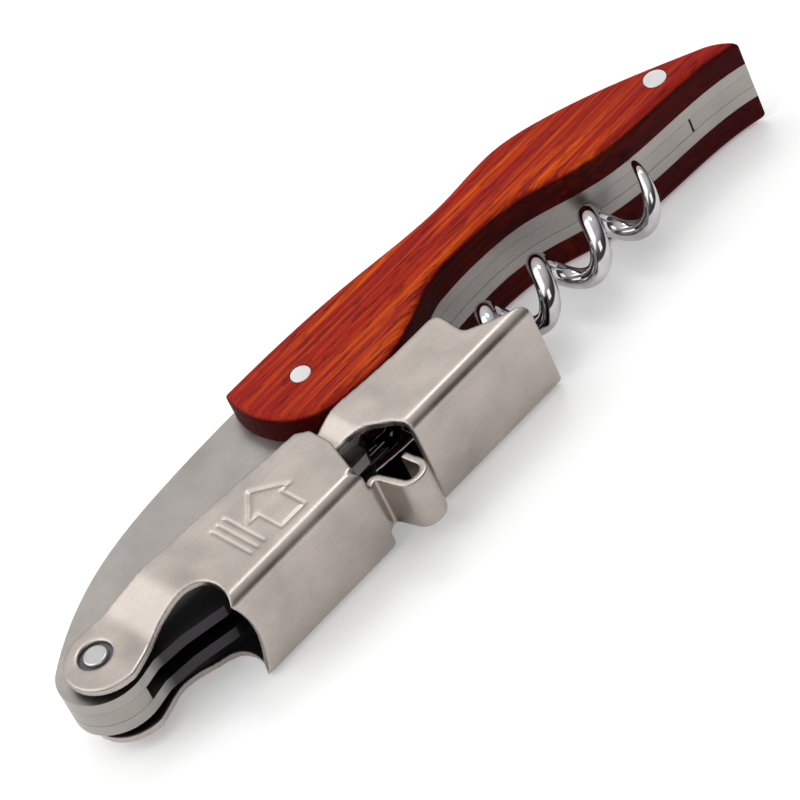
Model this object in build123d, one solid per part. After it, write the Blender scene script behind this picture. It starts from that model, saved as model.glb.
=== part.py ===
from build123d import *
import os

# Waiters corkscrew, folded shut and lying on its side. Millimetres.
# Working frame: the lever's pivot axis is X = Y = 0, +X runs to the handle's tip, +Y to the
# handle's back, +Z to the near scale, and Z = 0 is the middle of the thickness.
# The finished pieces are moved so that the origin is the bottom centre of the folded corkscrew.

# Handle thicknesses, from the middle outwards
center_thickness = 2.3
liner_thickness = 1.7
scale_thickness = 4.3

# Handle outline
nose_radius = 6.0
scale_front_x = 36.4      # where the wood begins behind the bare steel bolster
back_y = 15.0             # highest point of the back
tip_x, tip_y = 114.0, -4.2
hump_from_tip, hump_y = 28.5, 12.5
bay_x, bay_y = 70.0, 3.5  # middle of the arch that the folded worm lies under
pad_y = 2.7               # sets the underside of the wood in front of that arch
lobe_end_x, lobe_y = 41.4, -6.3   # lower lobe of the liners, which carries the worm's pin
scale_inset = 0.55        # how far the wood stays inside the liners along the back
scale_round = 1.25        # round-over of the outer wood edges

# Pins and rivets: X, Y and radius
lever_pin_radius = 1.65
front_rivet_x, front_rivet_y, front_rivet_radius = 44.5, 7.2, 1.45
blade_pin_from_tip, blade_pin_y, blade_pin_radius = 10.0, 0.0, 1.65
worm_pin_x, worm_pin_y, worm_pin_radius = 37.5, -3.9, 1.1
spring_pin_x, spring_pin_y, spring_pin_radius = 56.0, 3.2, 0.9
tip_pin_from_tip, tip_pin_y, tip_pin_radius = 3.8, -2.9, 0.7
fixed_clearance = 0.02    # radial, pins that are pressed or riveted into their holes
running_clearance = 0.05  # radial, pins that something turns on
side_clearance = 0.05     # between flat faces that slide on each other

# Blade and its spring
blade_clearance = 0.15    # each side of the blade, in its slot between the liners
tang_radius = 2.8
tang_gap = 0.25
spring_front_x = 50.3
spacer_gap = 0.3
serration_pitch, serration_radius = 1.3, 0.75

# Worm; lengths along it are counted from its pin
wire_radius = 1.35
coil_radius = 3.0         # axis of the coil to the middle of the wire
coil_pitch = 9.3
worm_tilt = 2.3           # degrees that the folded worm dips away from the handle
shank_end = 9.0
coil_start = 12.0
worm_length = 56.6
point_angle = 40          # degrees about the worm's axis at which the wire ends
point_length = 7.4        # length along the axis in which the wire tapers to its point
point_radius = 0.2
eye_radius = 2.7

# Levers, folded sheet steel
sheet = 1.1
bend_radius = 1.6
ear_center = (0.6, -1.2)
ear_radius = 5.5
ear_hole_radius = 2.25
bush_thickness = 1.0
main_web_y, main_web_start_x, main_web_end_x = -12.1, 13.0, 36.5
second_web_y, second_web_start_x, second_web_end_x = -12.5, 45.0, 66.7
joggle_start_x, joggle_end_x = 5.0, 11.5
joggle_bend = 7.0         # bending radius of the main lever's joggle
hinge_x, hinge_y = 28.5, -8.0
hinge_stud_radius = 1.0
hinge_ear_radius = 2.4
second_joggle_start_x, second_joggle_end_x = 38.9, 41.8
second_joggle_bend = 3.0
lever_gap = 0.35          # second lever to the wood above it
foot_half_width = 3.9
foot_reach_x, foot_reach_y = 43.0, -16.2   # middle of the sheet at the foot's outer corner

# Stamped mark on the near side of the main lever
mark_depth = 0.2
mark_line = 0.45

# Values worked out from the sizes above
hump_x = tip_x - hump_from_tip
blade_pin_x = tip_x - blade_pin_from_tip
tip_pin_x = tip_x - tip_pin_from_tip
liner_outer_z = center_thickness / 2 + liner_thickness
half_thickness = liner_outer_z + scale_thickness
ear_inner_z = liner_outer_z + bush_thickness + side_clearance
ear_outer_z = ear_inner_z + sheet
plate_inner_z = half_thickness - sheet
hinge_ear_outer_z = plate_inner_z - side_clearance
hinge_ear_inner_z = hinge_ear_outer_z - sheet
blade_thickness = center_thickness - 2 * blade_clearance
eye_thickness = blade_thickness
main_web_inner_y = main_web_y + sheet


def plate(face, low_z, high_z):
    """A flat plate of this outline between two heights."""
    return extrude(Pos(0, 0, low_z) * face, amount=high_z - low_z)


def both_sides(solid):
    """A near piece together with its mirror image on the far side."""
    return solid + mirror(solid, about=Plane.XY)


def rod(x, y, radius, low_z, high_z):
    """A round rod across the thickness."""
    return plate(Pos(x, y) * Circle(radius), low_z, high_z)


def polygon(*points):
    """A straight-sided face through these points."""
    return make_face(Polyline(*points, close=True))


# ---------------------------------------------------------------- handle outlines

nose_top = (-0.7 * nose_radius, 0.714 * nose_radius)
nose_bottom = (1.4, -nose_radius - 0.1)
tip_top = (tip_x - 2.7, tip_y + 3.2)
tip_middle = (tip_x - 0.6, tip_y + 0.7)
tip_bottom = (tip_x, tip_y - 1.15)


def back_edge(inset=0):
    """The handle's back, from the nose over the hump to the tip."""
    points = [
        nose_top,
        (2.2, back_y - 6.4),
        (10.0, back_y - 3.0),
        (scale_front_x - 12, back_y - 0.55),
        (scale_front_x + 3, back_y),
        (bay_x - 10, back_y - 1.2),
        (hump_x - 10, hump_y - 0.25),
        (hump_x, hump_y),
        (blade_pin_x - 12.5, hump_y - 1.8),
        (blade_pin_x + 0.7, blade_pin_y + 3.5),
        tip_top,
    ]
    return Spline(*[(x, y - inset) for x, y in points])


def tip_edge(inset=0):
    """The rounded end of the handle."""
    (top_x, top_y), (middle_x, middle_y) = tip_top, tip_middle
    return ThreePointArc((top_x, top_y - inset), (middle_x - inset / 2, middle_y), tip_bottom)


bay_front = (bay_x - 6, bay_y - 0.4)


def belly_edge(*front_points):
    """The underside, from the tip to the worm bay and on through the points given."""
    return Spline(
        tip_bottom,
        (blade_pin_x - 2, blade_pin_y - 3.35),
        (blade_pin_x - 14, blade_pin_y - 1.9),
        (hump_x - 0.5, bay_y - 3.5),
        (hump_x - 6, bay_y - 1.15),
        (bay_x, bay_y),
        bay_front,
        *front_points,
    )


def liner_face():
    """Outline of a liner: bolster, nose, lobe for the worm's pin, and the handle's own shape."""
    step_top = (lobe_end_x + 3.6, worm_pin_y + coil_radius + wire_radius + 0.7)
    lower_front = Polyline(
        step_top,
        (lobe_end_x + 1.5, lobe_y + 2.9),
        (lobe_end_x, lobe_y + 1.9),
        (lobe_end_x, lobe_y),
        (lobe_end_x - 12, lobe_y - 0.6),
        (14.5, lobe_y - 1.1),
        (8.5, lobe_y + 0.4),
        (4.0, lobe_y + 0.8),
        nose_bottom,
    )
    nose = ThreePointArc(nose_bottom, (-nose_radius, -0.6), nose_top)
    belly = belly_edge((bay_x - 12, bay_y - 1.5), step_top)
    face = make_face(back_edge() + tip_edge() + belly + lower_front + nose)
    corners = [v for v in face.vertices() if 7 < v.X < lobe_end_x + 0.1 and v.Y < 0]
    return fillet(corners, 0.6)


def scale_face():
    """Outline of a wooden scale, which begins behind the bolster."""
    pad_bottom = belly_edge(
        (bay_x - 10, pad_y - 1.2),
        (bay_x - 18, pad_y - 3.8),
        (scale_front_x + 9, pad_y - 3.4),
        (scale_front_x + 2, pad_y - 2.6),
    )
    nose_x, nose_y = nose_top
    front = Polyline(
        (scale_front_x + 2, pad_y - 2.6), (-2, pad_y - 2.6), (nose_x, nose_y - scale_inset)
    )
    body = make_face(back_edge(scale_inset) + tip_edge(scale_inset) + pad_bottom + front)
    curve = Spline(
        (scale_front_x + 2.6, back_y + 2),
        (scale_front_x, back_y - 4.6),
        (scale_front_x + 0.9, back_y - 10.0),
        (scale_front_x + 3.2, back_y - 13.4),
        (scale_front_x + 7.5, back_y - 15.6),
        (scale_front_x + 14, back_y - 18),
    )
    box = Polyline(
        (scale_front_x + 14, back_y - 18),
        (tip_x + 10, back_y - 30),
        (tip_x + 10, back_y + 2),
        (scale_front_x + 2.6, back_y + 2),
    )
    return body & make_face(curve + box)


# ---------------------------------------------------------------- handle pieces

def drill(solid, x, y, radius):
    """A hole across the thickness, clear of the rod that goes through it."""
    return solid - rod(x, y, radius, -2 * half_thickness, 2 * half_thickness)


def make_liner():
    """Near liner: the steel plate that the whole handle is built on."""
    liner = plate(liner_face(), center_thickness / 2, liner_outer_z)
    liner = drill(liner, 0, 0, lever_pin_radius + fixed_clearance)
    liner = drill(liner, front_rivet_x, front_rivet_y, front_rivet_radius + fixed_clearance)
    liner = drill(liner, blade_pin_x, blade_pin_y, blade_pin_radius + fixed_clearance)
    liner = drill(liner, worm_pin_x, worm_pin_y, worm_pin_radius + fixed_clearance)
    liner = drill(liner, spring_pin_x, spring_pin_y, spring_pin_radius + fixed_clearance)
    return drill(liner, tip_pin_x, tip_pin_y, tip_pin_radius + fixed_clearance)


def make_scale():
    """Near wooden scale, with its outer edges rounded over."""
    scale = plate(scale_face(), liner_outer_z, half_thickness)
    scale = fillet(scale.faces().sort_by(Axis.Z)[-1].edges(), scale_round)
    scale = drill(scale, front_rivet_x, front_rivet_y, front_rivet_radius + fixed_clearance)
    return drill(scale, blade_pin_x, blade_pin_y, blade_pin_radius + fixed_clearance)


def make_front_spacer():
    """Spacer of the bolster: the nose block and the bar along the back, in the middle layer."""
    window = polygon(
        (-2 * nose_radius, -2 * nose_radius),
        (0.6, -2 * nose_radius),
        (1.6, -2.6),
        (4.5, 1.8),
        (12, 3.6),
        (worm_pin_x, worm_pin_y + eye_radius + 4.4),
        (spring_front_x, bay_y + 1.0),
        (spring_front_x, back_y + 5),
        (-2 * nose_radius, back_y + 5),
    )
    spacer = plate(liner_face() & window, -center_thickness / 2, center_thickness / 2)
    spacer = drill(spacer, 0, 0, lever_pin_radius + fixed_clearance)
    return drill(spacer, front_rivet_x, front_rivet_y, front_rivet_radius + fixed_clearance)


def make_blade_spring():
    """Spring of the blade: a tapering bar along the belly that bears on the blade's tang."""
    window = polygon(
        (spring_front_x, -back_y),
        (blade_pin_x, -back_y),
        (blade_pin_x, blade_pin_y - 0.3),
        (blade_pin_x - 8, blade_pin_y + 0.1),
        (hump_x + 2, bay_y - 1.2),
        (hump_x - 6, bay_y + 0.9),
        (bay_x + 1, bay_y + 1.7),
        (spring_pin_x + 2, bay_y + 2.4),
        (spring_front_x, bay_y + 2.4),
    )
    window -= Pos(blade_pin_x, blade_pin_y) * Circle(tang_radius + tang_gap)
    spring = plate(liner_face() & window, -center_thickness / 2, center_thickness / 2)
    return drill(spring, spring_pin_x, spring_pin_y, spring_pin_radius + fixed_clearance)


def make_tip_spacer():
    """Small spacer that closes the tip of the handle below the blade's path."""
    window = polygon(
        (blade_pin_x + spacer_gap, blade_pin_y - 0.9),
        (blade_pin_x + 5, blade_pin_y - 0.9),
        (tip_x + 1, tip_y + 1.6),
        (tip_x + 1, -back_y),
        (blade_pin_x + spacer_gap, -back_y),
    )
    window -= Pos(blade_pin_x, blade_pin_y) * Circle(tang_radius + tang_gap)
    spacer = plate(liner_face() & window, -center_thickness / 2, center_thickness / 2)
    return drill(spacer, tip_pin_x, tip_pin_y, tip_pin_radius + fixed_clearance)


def make_foil_cutter():
    """Serrated foil blade, folded into the slot with its spine just proud of the back."""
    spine = Spline(
        (blade_pin_x - 1.8, blade_pin_y + tang_radius - 0.75),
        (blade_pin_x - 8, blade_pin_y + 7.0),
        (blade_pin_x - 18, hump_y + 0.5),
        (blade_pin_x - 28, hump_y + 0.4),
        (blade_pin_x - 36, hump_y - 1.6),
        (blade_pin_x - 39.5, hump_y - 4.2),
    )
    edge = Polyline(
        (blade_pin_x - 39.5, hump_y - 4.2),
        (blade_pin_x - 34, bay_y + 3.5),
        (blade_pin_x - 7, blade_pin_y + 2.0),
        (blade_pin_x - tang_radius + 0.1, blade_pin_y + 0.4),
        (blade_pin_x - 1.8, blade_pin_y + tang_radius - 0.75),
    )
    outline = make_face(spine + edge)
    tang = Pos(blade_pin_x, blade_pin_y) * Circle(tang_radius)
    blade = plate(outline + tang, -blade_thickness / 2, blade_thickness / 2)
    blade = drill(blade, blade_pin_x, blade_pin_y, blade_pin_radius + running_clearance)
    edge_start = Vector(blade_pin_x - 9, blade_pin_y + 2.11)
    edge_end = Vector(blade_pin_x - 33.5, bay_y + 3.45)
    run = edge_end - edge_start
    count = int(run.length / serration_pitch)
    teeth = [
        rod(spot.X, spot.Y, serration_radius, -blade_thickness, blade_thickness)
        for spot in (
            edge_start + run * (number / count) - Vector(0, 0.45) for number in range(count + 1)
        )
    ]
    blade -= teeth
    nick = Pos(blade_pin_x - 25, hump_y - 1.1, blade_thickness / 2) * Box(7, 0.9, 0.7)
    return blade - nick


def make_through_rivet(x, y, radius):
    """A rivet through both scales, with flush, slightly softened ends."""
    rivet = rod(x, y, radius, -half_thickness, half_thickness)
    return chamfer(rivet.edges(), 0.12)


def make_hidden_pin(x, y, radius):
    """A short pin through the liners, flush under the scales."""
    return rod(x, y, radius, -liner_outer_z, liner_outer_z)


# ---------------------------------------------------------------- worm

def make_worm_pin():
    """The worm's pin, with a peened head outside each liner."""
    pin = rod(worm_pin_x, worm_pin_y, worm_pin_radius, -liner_outer_z, liner_outer_z)
    head = rod(worm_pin_x, worm_pin_y, worm_pin_radius + 0.5, liner_outer_z, liner_outer_z + 0.5)
    head = chamfer(head.faces().sort_by(Axis.Z)[-1].edges(), 0.25)
    return pin + both_sides(head)


def coil_path(start, end):
    """Left-handed helix about the worm's own X axis between two places along it."""
    angle = point_angle - 360 * (start - worm_length) / coil_pitch
    helix = Helix(pitch=coil_pitch, height=end - start, radius=coil_radius, lefthand=True)
    along_x = Plane(origin=(start, 0, 0), x_dir=(0, 1, 0), z_dir=(1, 0, 0))
    return along_x * Rot(0, 0, angle) * helix


def round_wire(path):
    """Wire of the worm's thickness along a path, with a ball at its start."""
    section = Plane(path @ 0, z_dir=path % 0) * Circle(wire_radius)
    return sweep(section, path=path, is_frenet=True) + Pos(path @ 0) * Sphere(wire_radius)


def make_worm():
    """The worm: a flattened eye, a shank, the coil and its tapered point."""
    taper = worm_length - point_length
    coil = coil_path(coil_start, taper)
    point = coil_path(taper, worm_length)
    ends = [
        Plane(point @ 0, z_dir=point % 0) * Circle(wire_radius),
        Plane(point @ 1, z_dir=point % 1) * Circle(point_radius),
    ]
    tip = sweep(ends, path=point, multisection=True, is_frenet=True)
    shank = round_wire(Line((0, 0, 0), (shank_end, 0, 0)))
    bend = round_wire(Line((shank_end, 0, 0), coil @ 0))
    flat_length = lobe_end_x + 2.2 - worm_pin_x
    beside = (wire_radius + 1) * 2
    for side in (-1, 1):
        height = side * (eye_thickness / 2 + wire_radius)
        shank -= Pos(0, 0, height) * Box(2 * flat_length, beside, 2 * wire_radius)
    eye = rod(0, 0, eye_radius, -eye_thickness / 2, eye_thickness / 2)
    worm = drill(round_wire(coil) + tip + bend + shank + eye, 0, 0,
                 worm_pin_radius + running_clearance)
    return Pos(worm_pin_x, worm_pin_y) * Rot(0, 0, -worm_tilt) * worm


# ---------------------------------------------------------------- levers

def channel(web_y, start_x, end_x, top_y):
    """A straight U channel along X, open towards +Y, with rounded bends at its web."""
    outer = Rectangle(2 * half_thickness, top_y - web_y, align=(Align.CENTER, Align.MIN))
    outer = fillet([v for v in outer.vertices() if v.Y < 0.1], bend_radius)
    inner = Pos(0, sheet) * Rectangle(
        2 * plate_inner_z, top_y - web_y, align=(Align.CENTER, Align.MIN)
    )
    inner = fillet([v for v in inner.vertices() if v.Y < sheet + 0.1], bend_radius - sheet)
    across = Plane(origin=(start_x, web_y, 0), x_dir=(0, 0, -1), z_dir=(1, 0, 0))
    return extrude(across * (outer - inner), amount=end_x - start_x)


def joggled_side(start_x, end_x, low_z, joggle_x0, joggle_x1, bend, low_y, high_y):
    """Near side plate that steps out from a low level to the channel's own level."""
    middle = sheet / 2
    line = FilletPolyline(
        (start_x, low_z + middle),
        (joggle_x0, low_z + middle),
        (joggle_x1, plate_inner_z + middle),
        (end_x, plate_inner_z + middle),
        radius=bend,
    )
    strip = trace(line, sheet)
    in_plan = Plane(origin=(0, high_y, 0), x_dir=(1, 0, 0), z_dir=(0, -1, 0))
    return extrude(in_plan * strip, amount=high_y - low_y)


def web_plan(end_x, corner):
    """Mask that rounds the two corners of a web's free end."""
    reach = 200
    plan = Pos(end_x - reach / 2, 0) * Rectangle(reach, 2 * half_thickness + 0.02)
    plan = fillet([v for v in plan.vertices() if v.X > 0], corner)
    in_plan = Plane(origin=(0, 60, 0), x_dir=(1, 0, 0), z_dir=(0, -1, 0))
    return extrude(in_plan * plan, amount=120)


def main_lever_face():
    """Side view of the main lever: ear, side plate, and the cut below the ear."""
    ear_x, ear_y = ear_center
    plate_end_x = main_web_end_x + 1.8
    top = Spline(
        (ear_x, ear_y + ear_radius),
        (joggle_start_x, ear_y + 5.1),
        (joggle_end_x + 1, ear_y + 3.95),
        (joggle_end_x + 10, ear_y + 3.3),
        (plate_end_x - 8, ear_y + 2.5),
        (plate_end_x - 1.4, ear_y + 1.8),
    )
    end = Polyline(
        (plate_end_x - 1.4, ear_y + 1.8),
        (plate_end_x, ear_y + 0.3),
        (plate_end_x - 0.1, ear_y - 3.6),
        (main_web_end_x, main_web_inner_y + 1),
        (main_web_end_x, main_web_y),
        (main_web_start_x, main_web_y),
    )
    notch = Spline(
        (main_web_start_x, main_web_y),
        (main_web_start_x + 1.6, ear_y - 7.6),
        (main_web_start_x + 0.9, ear_y - 4.7),
        (main_web_start_x - 1.9, ear_y - 3.5),
        (joggle_start_x + 1.5, ear_y - 3.6),
        (ear_x + 3.4, ear_y - 4.4),
        (ear_x, ear_y - ear_radius),
    )
    ear = ThreePointArc(
        (ear_x, ear_y - ear_radius), (ear_x - ear_radius, ear_y), (ear_x, ear_y + ear_radius)
    )
    return make_face(top + end + notch + ear)


def make_mark():
    """Grooves of the stamped mark: an arrow's outline and three plain bars beside it."""
    arrow = Polyline(
        (27.2, -1.1), (23.7, -4.9), (25.2, -4.9), (25.2, -9.2),
        (29.4, -9.2), (29.4, -4.9), (30.8, -4.9), close=True,
    )
    lines = trace(arrow, mark_line)
    for number in range(3):
        bar_x = 20.3 + number * 1.15
        lines += trace(Line((bar_x, -8.9), (bar_x, -1.2)), mark_line)
    return plate(lines, half_thickness - mark_depth, half_thickness + 1)


def make_foot():
    """Curled foot on the main lever's web: the first step for the bottle's lip."""
    middle_y = main_web_y + sheet / 2
    curl = FilletPolyline(
        (main_web_end_x - 3, middle_y),
        (main_web_end_x + 0.2, middle_y),
        (main_web_end_x + 1.7, middle_y + 0.8),
        (foot_reach_x - 3.5, foot_reach_y),
        (foot_reach_x, foot_reach_y),
        (foot_reach_x - 0.3, middle_y - 0.2),
        radius=[0.7, 0.7, 1.5, 1.6],
    )
    return extrude(Pos(0, 0, -foot_half_width) * trace(curl, sheet), amount=2 * foot_half_width)


def make_main_lever():
    """Main lever: two ears on the pivot, joggled out to a channel, with a curled foot."""
    top_y = ear_center[1] + ear_radius + 1
    web = channel(main_web_y, main_web_start_x - 2, main_web_end_x, top_y)
    nose_cut = Pos(main_web_start_x - 11.6, 0, 0) * Rot(90, 0, 0) * Cylinder(13.4, 80)
    web = (web - nose_cut) & web_plan(main_web_end_x, 1.6)
    low_y = main_web_y + bend_radius
    near = joggled_side(
        -3 * ear_radius,
        60,
        ear_inner_z,
        joggle_start_x,
        joggle_end_x,
        joggle_bend,
        low_y,
        top_y,
    )
    mask = plate(main_lever_face(), -half_thickness, half_thickness)
    lever = (web + both_sides(near)) & mask
    lever = drill(lever, 0, 0, ear_hole_radius)
    return lever + make_foot() - make_mark()


def second_lever_face():
    """Side view of the second lever: hinge ear, arm, side plate and its stepped end."""
    wood = [
        (scale_front_x + 3, pad_y - 3.4 - lever_gap),
        (scale_front_x + 7, pad_y - 3.3 - lever_gap),
        (scale_front_x + 11, pad_y - 3.75 - lever_gap),
        (scale_front_x + 16.5, pad_y - 4.2 - lever_gap),
        (second_web_end_x - 8.2, pad_y - 4.25 - lever_gap),
    ]
    arm = [(hinge_x - 1.2, hinge_y + hinge_ear_radius - 0.3), (hinge_x + 3.6, pad_y - 4.6)]
    end = [
        (second_web_end_x - 6.5, pad_y - 4.3 - lever_gap),
        (second_web_end_x - 7.0, second_web_y + 5.0),
        (second_web_end_x - 3.6, second_web_y + 2.7),
        (second_web_end_x, second_web_y + 0.9),
        (second_web_end_x, second_web_y),
        (second_web_start_x, second_web_y),
    ]
    cut = [
        (second_web_start_x, second_web_y + 1.3),
        (second_web_start_x - 0.6, second_web_y + 2.8),
        (second_web_start_x - 2.7, second_web_y + 5.3),
        (second_web_start_x - 5.2, second_web_y + 6.9),
        (hinge_x + 8.2, second_web_y + 7.7),
        (hinge_x + 1.4, hinge_y - hinge_ear_radius + 0.45),
    ]
    body = polygon(*arm, *wood, *end, *cut)
    corners = [v for v in body.vertices() if v.X > second_web_end_x - 7.2 and v.Y > hinge_y]
    body = fillet(corners, 1.2)
    return body + Pos(hinge_x, hinge_y) * Circle(hinge_ear_radius)


def make_second_lever():
    """Second lever: two arms inside the main lever, joggled out to a channel of their own."""
    top_y = bay_y
    web = channel(second_web_y, second_web_start_x, second_web_end_x, top_y)
    low_y = second_web_y + bend_radius
    near = joggled_side(
        hinge_x - 10,
        second_web_end_x + 1,
        hinge_ear_inner_z,
        second_joggle_start_x,
        second_joggle_end_x,
        second_joggle_bend,
        low_y,
        top_y,
    )
    mask = plate(second_lever_face(), -half_thickness, half_thickness)
    lever = (web + both_sides(near)) & mask & web_plan(second_web_end_x, 1.2)
    return drill(lever, hinge_x, hinge_y, hinge_stud_radius + running_clearance)


def make_hinge_stud():
    """Near hinge stud, welded inside the main lever, with a head that keeps the arm on."""
    stud = rod(hinge_x, hinge_y, hinge_stud_radius, hinge_ear_inner_z - 0.6, plate_inner_z)
    head_top = hinge_ear_inner_z - side_clearance
    head = rod(hinge_x, hinge_y, hinge_stud_radius + 0.7, head_top - 0.7, head_top)
    return stud + chamfer(head.faces().sort_by(Axis.Z)[0].edges(), 0.2)


def make_pivot_bush():
    """Near pivot bush: a washer between liner and ear, with a boss inside the ear's hole."""
    washer = rod(0, 0, ear_radius - 1.6, liner_outer_z, liner_outer_z + bush_thickness)
    boss_radius = ear_hole_radius - running_clearance
    boss = rod(0, 0, boss_radius, liner_outer_z, ear_outer_z - 0.5)
    return drill(washer + boss, 0, 0, lever_pin_radius + fixed_clearance)


def make_lever_pin():
    """Pivot pin of the levers, right through the bolster, with domed ends."""
    pin = rod(0, 0, lever_pin_radius, -ear_outer_z, ear_outer_z)
    return fillet(pin.edges().filter_by(GeomType.CIRCLE), 0.3)


# ---------------------------------------------------------------- the whole corkscrew

def make_pieces():
    """Every piece, by its node name, in the working frame."""
    liner = make_liner()
    scale = make_scale()
    bush = make_pivot_bush()
    stud = make_hinge_stud()
    front = (front_rivet_x, front_rivet_y, front_rivet_radius)
    blade_pin = (blade_pin_x, blade_pin_y, blade_pin_radius)
    return {
        "near_liner": liner,
        "far_liner": mirror(liner, about=Plane.XY),
        "near_scale": scale,
        "far_scale": mirror(scale, about=Plane.XY),
        "front_spacer": make_front_spacer(),
        "tip_spacer": make_tip_spacer(),
        "blade_spring": make_blade_spring(),
        "front_rivet": make_through_rivet(*front),
        "blade_pivot_rivet": make_through_rivet(*blade_pin),
        "spring_pin": make_hidden_pin(spring_pin_x, spring_pin_y, spring_pin_radius),
        "tip_pin": make_hidden_pin(tip_pin_x, tip_pin_y, tip_pin_radius),
        "foil_cutter": make_foil_cutter(),
        "worm_pin": make_worm_pin(),
        "worm": make_worm(),
        "lever_pin": make_lever_pin(),
        "near_pivot_bush": bush,
        "far_pivot_bush": mirror(bush, about=Plane.XY),
        "main_lever": make_main_lever(),
        "near_hinge_stud": stud,
        "far_hinge_stud": mirror(stud, about=Plane.XY),
        "second_lever": make_second_lever(),
    }


pieces = make_pieces()
box = Compound(children=[Compound(piece.solids()) for piece in pieces.values()]).bounding_box()
origin = Vector(box.center().X, box.center().Y, box.min.Z)
os.makedirs("parts", exist_ok=True)
for name, piece in pieces.items():
    export_step(Pos(-origin) * piece, f"parts/{name}.step")
print("origin in the working frame:", [round(value, 4) for value in origin])
print("size:", [round(value, 3) for value in box.size])
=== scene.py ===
import math

import bpy
from mathutils import Matrix, Vector


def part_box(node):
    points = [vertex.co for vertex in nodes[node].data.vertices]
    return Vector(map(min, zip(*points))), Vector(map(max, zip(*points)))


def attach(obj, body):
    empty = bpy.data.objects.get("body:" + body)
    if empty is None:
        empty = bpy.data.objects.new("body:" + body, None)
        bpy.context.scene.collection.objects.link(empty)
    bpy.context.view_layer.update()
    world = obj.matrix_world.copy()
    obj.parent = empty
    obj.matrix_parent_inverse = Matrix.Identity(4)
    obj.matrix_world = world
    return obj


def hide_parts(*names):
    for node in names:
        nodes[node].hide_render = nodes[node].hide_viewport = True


# Waiters corkscrew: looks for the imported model. Metres; mm turns millimetres into metres.
mm = 0.001

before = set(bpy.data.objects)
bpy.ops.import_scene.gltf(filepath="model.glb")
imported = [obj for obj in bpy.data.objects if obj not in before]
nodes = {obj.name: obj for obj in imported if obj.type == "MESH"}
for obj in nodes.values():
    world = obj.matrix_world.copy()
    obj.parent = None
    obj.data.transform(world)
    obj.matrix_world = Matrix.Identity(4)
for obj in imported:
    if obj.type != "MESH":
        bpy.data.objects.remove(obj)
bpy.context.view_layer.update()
print("frame loaded:", len(nodes), "nodes")


# small tools for the modelling below

def deselectAll():
    if bpy.context.object and bpy.context.object.mode != "OBJECT":
        bpy.ops.object.mode_set(mode="OBJECT")
    bpy.ops.object.select_all(action="DESELECT")


def pickOnly(piece):
    deselectAll()
    piece.select_set(True)
    bpy.context.view_layer.objects.active = piece


def applyModifiers(piece):
    pickOnly(piece)
    for modifier in list(piece.modifiers):
        bpy.ops.object.modifier_apply(modifier=modifier.name)


def copyOfNode(nodeName, pieceName):
    # a copy of a CAD node with its doubled corners merged
    source = nodes[nodeName]
    piece = bpy.data.objects.new(pieceName, source.data.copy())
    bpy.context.scene.collection.objects.link(piece)
    piece.data.materials.clear()
    pickOnly(piece)
    bpy.ops.object.mode_set(mode="EDIT")
    bpy.ops.mesh.select_all(action="SELECT")
    bpy.ops.mesh.remove_doubles(threshold=0.002 * mm)
    bpy.ops.object.mode_set(mode="OBJECT")
    return piece


def roundOver(piece, voxel, passes):
    # one even skin in place of the loose facets, then worn soft along its edges
    skin = piece.modifiers.new("skin", "REMESH")
    skin.mode = "VOXEL"
    skin.voxel_size = voxel
    soften = piece.modifiers.new("soften", "SMOOTH")
    soften.factor = 0.5
    soften.iterations = passes
    applyModifiers(piece)
    bpy.ops.object.shade_smooth()


def easeEdges(piece, width, segments=2, angle=32):
    # a small bevel along every sharp edge, as on tumbled sheet steel
    bevel = piece.modifiers.new("ease", "BEVEL")
    bevel.width = width
    bevel.segments = segments
    bevel.limit_method = "ANGLE"
    bevel.angle_limit = math.radians(angle)
    bevel.miter_outer = "MITER_ARC"
    bevel.use_clamp_overlap = True
    applyModifiers(piece)


def smooth(piece, angle=35):
    # wide faces keep their flatness, and only the eased edges shade round
    pickOnly(piece)
    bpy.ops.object.shade_smooth_by_angle(angle=math.radians(angle))
    weighted = piece.modifiers.new("weighted", "WEIGHTED_NORMAL")
    weighted.keep_sharp = True
    weighted.weight = 80
    applyModifiers(piece)


# middle of the handle's thickness
midHeight = (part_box("far_liner")[0][2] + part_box("near_liner")[1][2]) / 2


# materials

paintedShadeColour = (0.055, 0.052, 0.055)   # painted shade: near-black colour put on the faces that lie in the folded tool's shade


def newMaterial(name):
    material = bpy.data.materials.new(name)
    material.use_nodes = True
    tree = material.node_tree
    return material, tree, tree.nodes["Principled BSDF"]


def addNode(tree, kind, inputs=None, **settings):
    node = tree.nodes.new(kind)
    for key, value in settings.items():
        setattr(node, key, value)
    for key, value in (inputs or {}).items():
        if isinstance(value, bpy.types.NodeSocket):
            tree.links.new(value, node.inputs[key])
        else:
            node.inputs[key].default_value = value
    return node


def noise(tree, stretch, detail=3.0, roughness=0.5, distortion=0.0, turn=0.0):
    # object coordinates, squeezed so that the noise runs out into streaks along X
    coords = addNode(tree, "ShaderNodeTexCoord").outputs["Object"]
    place = addNode(
        tree, "ShaderNodeMapping",
        {"Vector": coords, "Scale": stretch, "Rotation": (0, 0, turn)},
    ).outputs["Vector"]
    return addNode(
        tree, "ShaderNodeTexNoise",
        {"Vector": place, "Scale": 1.0, "Detail": detail, "Roughness": roughness,
         "Distortion": distortion},
    ).outputs["Fac"]


def ramp(tree, value, *stops):
    node = addNode(tree, "ShaderNodeValToRGB", {"Fac": value})
    bands = node.color_ramp.elements
    while len(bands) < len(stops):
        bands.new(0.5)
    for band, (place, colour) in zip(bands, stops):
        band.position = place
        band.color = (*colour, 1) if isinstance(colour, tuple) else (colour, colour, colour, 1)
    return node.outputs["Color"]


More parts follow.
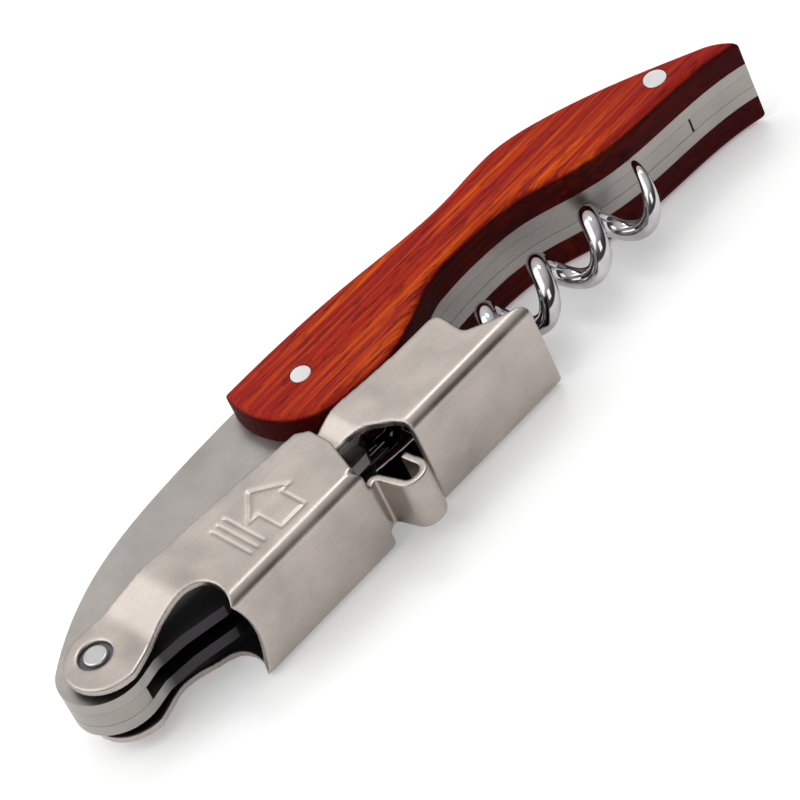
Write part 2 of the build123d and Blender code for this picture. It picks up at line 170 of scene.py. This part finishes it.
def mixColour(tree, factor, first, second, blend="MIX"):
    node = tree.nodes.new("ShaderNodeMix")
    node.data_type = "RGBA"
    node.blend_type = blend
    for socket, value in ((node.inputs[0], factor), (node.inputs[6], first),
                          (node.inputs[7], second)):
        if isinstance(value, bpy.types.NodeSocket):
            tree.links.new(value, socket)
        elif isinstance(value, tuple):
            socket.default_value = (*value, 1)
        else:
            socket.default_value = value
    return node.outputs[2]


def mapRange(tree, value, fromMin, fromMax, toMin, toMax):
    return addNode(
        tree, "ShaderNodeMapRange",
        {"Value": value, "From Min": fromMin, "From Max": fromMax, "To Min": toMin,
         "To Max": toMax},
    ).outputs["Result"]


def bump(tree, height, strength, distance, normal=None):
    inputs = {"Height": height, "Strength": strength, "Distance": distance}
    if normal:
        inputs["Normal"] = normal
    return addNode(tree, "ShaderNodeBump", inputs).outputs["Normal"]


def combine(tree, operation, first, second):
    return addNode(tree, "ShaderNodeMath", {0: first, 1: second}, operation=operation).outputs[0]


paintedShadeEdges = {
    # each pair is where the painted shade of a hollow starts and where it is full, in mm
    "cheeks": (-1, -3),     # inner faces, by height above the middle times the way they face
    "web": (-8, -9.5),      # inner side of a channel's web, by Y
    "nose": (-51.5, -49),   # the handle's part under the main lever, from its front
    "worm": (-16, -17.5),   # to its rear end
    "belly": (0.5, -2),     # and down from the liners' top
}


def fade(tree, value, shadeName):
    start, full = paintedShadeEdges[shadeName]
    return mapRange(tree, value, start * mm, full * mm, 0, 1)


def paintedShadeOfLever(tree):
    # painted shade: 1 on the inner faces of a channel, where its sheets shade each other, 0
    # elsewhere
    coords = addNode(tree, "ShaderNodeTexCoord").outputs
    place = addNode(tree, "ShaderNodeSeparateXYZ", {"Vector": coords["Object"]}).outputs
    facing = addNode(tree, "ShaderNodeSeparateXYZ", {"Vector": coords["Normal"]}).outputs
    height = combine(tree, "SUBTRACT", place["Z"], midHeight)
    cheeks = fade(tree, combine(tree, "MULTIPLY", height, facing["Z"]), "cheeks")
    turnedIn = mapRange(tree, facing["Y"], 0.5, 0.8, 0, 1)
    web = combine(tree, "MULTIPLY", turnedIn, fade(tree, place["Y"], "web"))
    return combine(tree, "MAXIMUM", cheeks, web)


def paintedShadeOfHandle(tree):
    # painted shade: 1 on the part of the handle that the main lever closes over and shades
    coords = addNode(tree, "ShaderNodeTexCoord").outputs
    place = addNode(tree, "ShaderNodeSeparateXYZ", {"Vector": coords["Object"]}).outputs
    along = combine(
        tree, "MULTIPLY", fade(tree, place["X"], "nose"), fade(tree, place["X"], "worm"))
    return combine(tree, "MULTIPLY", along, fade(tree, place["Y"], "belly"))


steelLooks = {
    # name: colour, roughness, how strong the finishing lines are
    "leverSteel": ((0.455, 0.405, 0.37), 0.33, 0.6),
    "linerSteel": ((0.375, 0.35, 0.33), 0.40, 0.8),
    "innerSteel": ((0.36, 0.335, 0.31), 0.40, 1.0),
    "pinSteel": ((0.50, 0.49, 0.48), 0.28, 0.4),
    "bladeSteel": ((0.40, 0.40, 0.405), 0.22, 0.8),
    "rivetMetal": ((0.69, 0.67, 0.67), 0.45, 0.3),
    "darkSteel": ((0.10, 0.10, 0.11), 0.38, 0.4),
}


def steel(name, mottle=0.12, paintedShade=None):
    # rolled sheet: fine lines of the finishing belt, faint clouds, a few handling marks; painted
    # shade in the hollows when a mask is given
    colour, roughness, brush = steelLooks[name]
    material, tree, shader = newMaterial(name)
    lines = noise(tree, (60, 2600, 2600), 2.0, 0.6)
    clouds = noise(tree, (160, 160, 160), 4.0, 0.55)
    grit = noise(tree, (2400, 2400, 2400), 2.0)
    dark = tuple(channel * (1 - mottle) for channel in colour)
    light = tuple(min(1, channel * (1 + mottle)) for channel in colour)
    tint = ramp(tree, clouds, (0.3, dark), (0.7, light))
    tint = mixColour(tree, mapRange(tree, lines, 0.35, 0.65, 0.0, 0.22), tint, dark)
    tint = mixColour(tree, mapRange(tree, grit, 0.5, 0.8, 0.0, 0.5), tint, dark)
    rough = mapRange(tree, clouds, 0.3, 0.7, roughness * 0.85, roughness * 1.2)
    # painted shade: faces in the shaded hollows turn near black and rougher
    if paintedShade:
        inside = paintedShade(tree)
        tint = mixColour(tree, inside, tint, paintedShadeColour)
        rough = combine(tree, "MAXIMUM", rough, combine(tree, "MULTIPLY", inside, 0.45))
    tree.links.new(tint, shader.inputs["Base Color"])
    tree.links.new(rough, shader.inputs["Roughness"])
    shader.inputs["Metallic"].default_value = 1.0
    grooves = bump(tree, lines, 0.10 * brush, 0.05 * mm)
    tree.links.new(bump(tree, grit, 0.10, 0.02 * mm, grooves), shader.inputs["Normal"])
    return material


chromeLook = {
    "dark": (0.44, 0.43, 0.44),
    "light": (0.60, 0.59, 0.60),
    "roughness": (0.06, 0.13),
    "shadedShank": (-8, -3),   # by X in mm, painted shade on the folded shank under the levers, fading out where it leaves them
}


def polishedChrome():
    look = chromeLook
    material, tree, shader = newMaterial("polishedChrome")
    shader.inputs["Metallic"].default_value = 1.0
    coords = addNode(tree, "ShaderNodeTexCoord").outputs["Object"]
    place = addNode(tree, "ShaderNodeSeparateXYZ", {"Vector": coords}).outputs["X"]
    faint = noise(tree, (300, 300, 300))
    shine = ramp(tree, faint, (0.3, look["dark"]), (0.7, look["light"]))
    start, end = look["shadedShank"]
    # painted shade on the shank where the levers cover it
    shank = mapRange(tree, place, start * mm, end * mm, 1, 0)
    tree.links.new(mixColour(tree, shank, shine, paintedShadeColour), shader.inputs["Base Color"])
    tree.links.new(mapRange(tree, faint, 0.3, 0.7, *look["roughness"]), shader.inputs["Roughness"])
    ripple = noise(tree, (500, 500, 500), 1.0)
    tree.links.new(bump(tree, ripple, 0.05, 0.1 * mm), shader.inputs["Normal"])
    return material


woodLook = {
    "bright": (0.76, 0.108, 0.006),
    "middle": (0.53, 0.041, 0.006),
    "red": (0.30, 0.012, 0.010),
    "dark": (0.040, 0.004, 0.003),
    "side": (0.17, 0.09, 0.24),   # painted shade: the sides, turned away from the light, darkened against the face
    "roughness": 0.55,
    "shine": 0.07,                # oiled, not lacquered
    "lean": 0.06,                 # radians, the grain runs a little across the handle
}


def redWood():
    look = woodLook
    material, tree, shader = newMaterial("redWood")
    coords = addNode(tree, "ShaderNodeTexCoord").outputs
    place = addNode(tree, "ShaderNodeSeparateXYZ", {"Vector": coords["Object"]}).outputs
    facing = addNode(tree, "ShaderNodeSeparateXYZ", {"Vector": coords["Normal"]}).outputs
    lean = look["lean"]
    drift = noise(tree, (14, 30, 30), 2.0)
    wide = noise(tree, (13, 330, 220), 3.0, 0.6, 0.35, lean)
    fine = noise(tree, (30, 1250, 900), 4.0, 0.65, 0.2, lean)
    fibre = noise(tree, (70, 5200, 4000), 2.0, turn=lean)
    face = ramp(
        tree, wide, (0.32, look["red"]), (0.44, look["middle"]), (0.57, look["bright"]),
        (0.70, look["middle"]))
    face = mixColour(tree, ramp(tree, fine, (0.44, 0.95), (0.58, 0.0)), face, look["red"])
    face = mixColour(tree, mapRange(tree, fibre, 0.35, 0.7, 0.0, 0.28), face, look["dark"])
    # redder towards both ends of the scale
    along = mapRange(tree, place["X"], -18 * mm, 60 * mm, 0.0, 1.0)
    ends = ramp(tree, along, (0.0, 0.75), (0.22, 0.15), (0.60, 0.0), (1.0, 0.9))
    face = mixColour(tree, ends, face, look["red"])
    # open pores: short dark dashes along the grain
    pores = noise(tree, (330, 3000, 2200), 1.0, 0.4, turn=lean)
    dashes = ramp(tree, pores, (0.57, 0.0), (0.64, 1.0))
    face = mixColour(tree, mixColour(tree, 1.0, dashes, drift, "MULTIPLY"), face, look["dark"])
    # the back was sanded through to deeper, redder wood
    face = mixColour(tree, mapRange(tree, facing["Y"], 0.1, 0.7, 0.0, 0.9), face, look["red"])
    # painted shade: sides darker than the top face, by the way they face the light
    flatness = addNode(
        tree, "ShaderNodeMath", {0: facing["Z"]}, operation="ABSOLUTE").outputs[0]
    side = ramp(tree, flatness, (0.40, look["side"]), (0.66, 1.0))
    face = mixColour(tree, 1.0, face, side, "MULTIPLY")
    tree.links.new(face, shader.inputs["Base Color"])
    tree.links.new(
        mapRange(tree, fine, 0.3, 0.7, look["roughness"] * 0.85, look["roughness"] * 1.25),
        shader.inputs["Roughness"],
    )
    shader.inputs["Specular IOR Level"].default_value = look["shine"]
    grain = bump(tree, fine, 0.12, 0.08 * mm)
    tree.links.new(bump(tree, dashes, -0.35, 0.06 * mm, grain), shader.inputs["Normal"])
    return material


leverSteel = steel("leverSteel", mottle=0.16, paintedShade=paintedShadeOfLever)
linerSteel = steel("linerSteel", paintedShade=paintedShadeOfHandle)
innerSteel = steel("innerSteel", paintedShade=paintedShadeOfHandle)
pinSteel = steel("pinSteel")
bladeSteel = steel("bladeSteel")
rivetMetal = steel("rivetMetal", mottle=0.10)
darkSteel = steel("darkSteel")
chrome = polishedChrome()
wood = redWood()
print("materials made")


# pieces

def dress(piece, material):
    piece.data.materials.clear()
    piece.data.materials.append(material)


easedParts = {
    # node of the handle: material, slot, width of its eased edge in mm
    "near_liner": (linerSteel, "liner_steel", 0.14),
    "far_liner": (linerSteel, "liner_steel", 0.14),
    "front_spacer": (innerSteel, "spacer_steel", 0.08),
    "tip_spacer": (innerSteel, "spacer_steel", 0.06),
    "blade_spring": (innerSteel, "spring_steel", 0.08),
}

plainParts = {
    # node shown as it was built: its material
    "near_scale": wood,
    "far_scale": wood,
    "front_rivet": rivetMetal,
    "blade_pivot_rivet": rivetMetal,
    "foil_cutter": bladeSteel,
    "lever_pin": pinSteel,
    "near_pivot_bush": darkSteel,
    "far_pivot_bush": darkSteel,
    "near_hinge_stud": innerSteel,
    "far_hinge_stud": innerSteel,
    "spring_pin": innerSteel,
    "tip_pin": innerSteel,
    "worm_pin": innerSteel,
}

for nodeName, (material, slotName, width) in easedParts.items():
    piece = copyOfNode(nodeName, nodeName + "_finished")
    easeEdges(piece, width * mm)
    smooth(piece)
    dress(piece, material)
    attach(piece, "handle")
    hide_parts(nodeName)

for nodeName, material in plainParts.items():
    dress(nodes[nodeName], material)
print("handle finished")

leverSizes = {
    "voxel": 0.18 * mm,   # skin of both levers
    "passes": 8,          # how far their sheet edges are worn round
}


def makeLever(nodeName, body):
    lever = copyOfNode(nodeName, nodeName + "_finished")
    roundOver(lever, leverSizes["voxel"], leverSizes["passes"])
    dress(lever, leverSteel)
    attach(lever, body)
    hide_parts(nodeName)


wormSizes = {
    "wire": 1.35 * mm,
    "coil": 3.0 * mm,       # axis to the middle of the wire
    "pitch": 9.3 * mm,
    "length": 56.6 * mm,    # pin to point
    "endAngle": 40,         # degrees
    "tilt": -2.3,           # degrees, the folded worm dips away from the handle
    "shank": 6.5 * mm,      # pin to where the wire leaves the flat eye
    "opening": (8 * mm, 13 * mm),   # where the straight shank opens out into the coil
    "taper": 5.5 * mm,
    "tip": 0.2,             # thickness left at the very point, as a share of the wire
    "flare": 0.75 * mm,     # how far the point stands out from the coil
    "overlap": 0.5 * mm,    # how far the eye reaches into the wire
    "steps": 520,           # places along the wire
}


def wormSpot(reach):
    # middle of the wire, and its thickness, at this reach from the pin
    size = wormSizes
    first, last = size["opening"]
    share = min(1, max(0, (reach - first) / (last - first)))
    out = size["coil"] * share * share * (3 - 2 * share)
    left = min(1, (size["length"] - reach) / size["taper"])
    thick = size["tip"] + (1 - size["tip"]) * left ** 0.6
    out += size["flare"] * (1 - left) ** 2
    angle = math.radians(size["endAngle"]) + math.tau * (size["length"] - reach) / size["pitch"]
    return Vector((reach, out * math.cos(angle), out * math.sin(angle))), thick


def makeWorm():
    # the forged eye stays, and the wire beyond it is drawn afresh as one round sweep
    size = wormSizes
    pinLow, pinHigh = (Vector(corner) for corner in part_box("worm_pin"))
    place = Matrix.Translation((pinLow + pinHigh) / 2) @ Matrix.Rotation(
        math.radians(size["tilt"]), 4, "Z")
    eye = copyOfNode("worm", "wormEye")
    bpy.ops.object.mode_set(mode="EDIT")
    bpy.ops.mesh.select_all(action="SELECT")
    bpy.ops.mesh.bisect(
        plane_co=place @ Vector((size["shank"] + size["overlap"], 0, 0)),
        plane_no=place.to_3x3() @ Vector((1, 0, 0)), use_fill=True, clear_outer=True)
    bpy.ops.object.mode_set(mode="OBJECT")
    smooth(eye, 30)
    line = bpy.data.curves.new("wormLine", "CURVE")
    line.dimensions = "3D"
    line.bevel_depth = size["wire"]
    line.bevel_resolution = 10
    line.use_fill_caps = True
    spline = line.splines.new("POLY")
    last = size["steps"] - 1
    spline.points.add(last)
    for number, point in enumerate(spline.points):
        reach = size["shank"] + (size["length"] - size["shank"]) * number / last
        spot, thick = wormSpot(reach)
        point.co = (*(place @ spot), 1)
        point.radius = thick
    wire = bpy.data.objects.new("worm_finished", line)
    bpy.context.scene.collection.objects.link(wire)
    pickOnly(wire)
    bpy.ops.object.convert(target="MESH")
    wire = bpy.context.object
    bpy.ops.object.shade_smooth_by_angle(angle=math.radians(50))
    eye.select_set(True)
    bpy.ops.object.join()
    dress(wire, chrome)
    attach(wire, "worm")
    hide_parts("worm")


makeLever("main_lever", "main_lever")
makeLever("second_lever", "second_lever")
makeWorm()
print("levers and worm finished")


# camera, lights and floor

cameraView = {
    "target": (-3.06 * mm, -0.31 * mm, 7.15 * mm),
    "azimuth": -26.62,   # degrees, like the next two
    "elevation": 42.0,
    "roll": 26.6,
    "distance": 566.9 * mm,
    "lens": 207.0,
}


def makeCamera():
    look = cameraView
    azimuth, elevation, roll = (math.radians(look[key]) for key in ("azimuth", "elevation", "roll"))
    back = Vector((
        math.sin(azimuth) * math.cos(elevation),
        -math.cos(azimuth) * math.cos(elevation),
        math.sin(elevation),
    ))
    right = Vector((math.cos(azimuth), math.sin(azimuth), 0))
    up = back.cross(right)
    across = right * math.cos(roll) - up * math.sin(roll)
    upright = right * math.sin(roll) + up * math.cos(roll)
    data = bpy.data.cameras.new("camera")
    data.lens = look["lens"]
    data.sensor_width = 36
    data.clip_start = 0.01
    camera = bpy.data.objects.new("camera", data)
    turn = Matrix((across, upright, back)).transposed().to_4x4()
    camera.matrix_world = Matrix.Translation(Vector(look["target"]) + back * look["distance"]) @ turn
    bpy.context.scene.collection.objects.link(camera)
    bpy.context.scene.camera = camera


lamps = {
    # name: place, width and length, power; each aims at the middle of the scene
    "window": ((-0.55, 0.35, 0.75), (1.3, 1.0), 5.2),
    "lowFill": ((-0.3, -0.7, 0.5), (0.5, 0.4), 1.0),
    "bendLine": ((0.31, 0.33, 0.78), (0.30, 0.16), 0.9),   # the bright line along the bends
}


def makeLamp(name, place, size, power):
    data = bpy.data.lights.new(name, "AREA")
    data.shape = "RECTANGLE"
    data.size, data.size_y = size
    data.energy = power
    lamp = bpy.data.objects.new(name, data)
    lamp.location = place
    lamp.rotation_euler = (-Vector(place)).to_track_quat("-Z", "Y").to_euler()
    bpy.context.scene.collection.objects.link(lamp)


floorLook = {
    "width": 6,
    "colour": (0.86, 0.86, 0.86, 1),
    "roughness": 0.8,
    "shine": 0.1,
    "lift": 0.24,   # glow that makes the floor white without lighting the corkscrew
}


def seenRays(tree):
    # 1 for what the camera sees, straight or by way of metal
    path = addNode(tree, "ShaderNodeLightPath").outputs
    mirrored = combine(tree, "ADD", path["Is Glossy Ray"], path["Is Transmission Ray"])
    return combine(tree, "ADD", path["Is Camera Ray"], mirrored)


def makeFloor():
    look = floorLook
    deselectAll()
    bpy.ops.mesh.primitive_plane_add(size=look["width"], location=(0, 0, 0))
    floor = bpy.context.object
    floor.name = "floor"
    material, tree, shader = newMaterial("paleFloor")
    shader.inputs["Base Color"].default_value = look["colour"]
    shader.inputs["Roughness"].default_value = look["roughness"]
    shader.inputs["Specular IOR Level"].default_value = look["shine"]
    shader.inputs["Emission Color"].default_value = (1, 1, 1, 1)
    lift = combine(tree, "MULTIPLY", seenRays(tree), look["lift"])
    tree.links.new(lift, shader.inputs["Emission Strength"])
    dress(floor, material)


skyLook = {
    "low": -0.4,      # height at which the sky is darkest, the horizon being 0
    "high": 1.2,
    "back": 0.45,     # how much of that height the wall behind counts for
    "bands": ((0.0, 0.04), (0.38, 0.10), (0.62, 0.60), (1.0, 1.0)),   # place and brightness
}


def makeWorld():
    # a bright wall behind and above, a dim room in front
    look = skyLook
    world = bpy.data.worlds.new("studio")
    bpy.context.scene.world = world
    world.use_nodes = True
    tree = world.node_tree
    backdrop = tree.nodes["Background"]
    coords = addNode(tree, "ShaderNodeTexCoord").outputs["Generated"]
    way = addNode(tree, "ShaderNodeSeparateXYZ", {"Vector": coords}).outputs
    height = combine(tree, "ADD", combine(tree, "MULTIPLY", way["Y"], look["back"]), way["Z"])
    sky = ramp(tree, mapRange(tree, height, look["low"], look["high"], 0, 1), *look["bands"])
    seen = addNode(tree, "ShaderNodeLightPath").outputs["Is Camera Ray"]
    tree.links.new(mixColour(tree, seen, sky, (1, 1, 1)), backdrop.inputs["Color"])
    backdrop.inputs["Strength"].default_value = 1.0


makeCamera()
makeFloor()
makeWorld()
for lampName, (place, size, power) in lamps.items():
    makeLamp(lampName, place, size, power)
bpy.context.scene.view_settings.view_transform = "Standard"
print("camera and light set")
